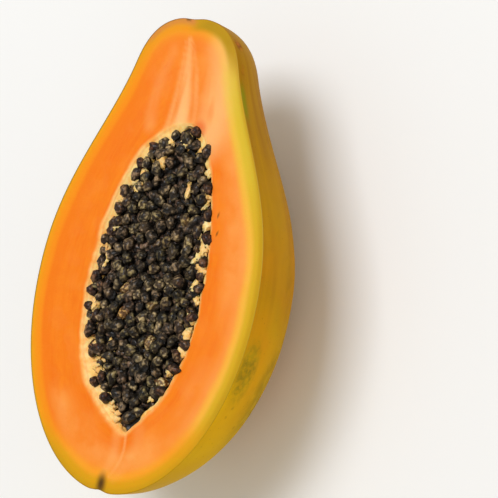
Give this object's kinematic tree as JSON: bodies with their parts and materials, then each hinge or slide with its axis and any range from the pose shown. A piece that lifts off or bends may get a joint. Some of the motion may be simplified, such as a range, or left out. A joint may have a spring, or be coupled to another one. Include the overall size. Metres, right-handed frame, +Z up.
{
  "type": "papaya half",
  "caption": "Half of a ripe papaya cut lengthwise, with its hollow full of dark seeds, lying on its back with the cut face up.",
  "frame": {"origin": "the middle of the small flat spot that the half rests on", "axes": "+X across the fruit, +Y along it towards the stem end, +Z up, square to the cut face and out of it"},
  "size_m": [0.1394, 0.2297, 0.074],
  "materials": {
    "fruit": "moist orange flesh with soft lengthwise streaks, under a thin satin skin of olive yellow with small brown specks",
    "seeds": "wrinkled grey-black seeds under a thin wet gel coat"
  },
  "bodies": {
    "root": {"fruit_half": "fruit", "seeds": "seeds"}
  },
  "joints": []
}
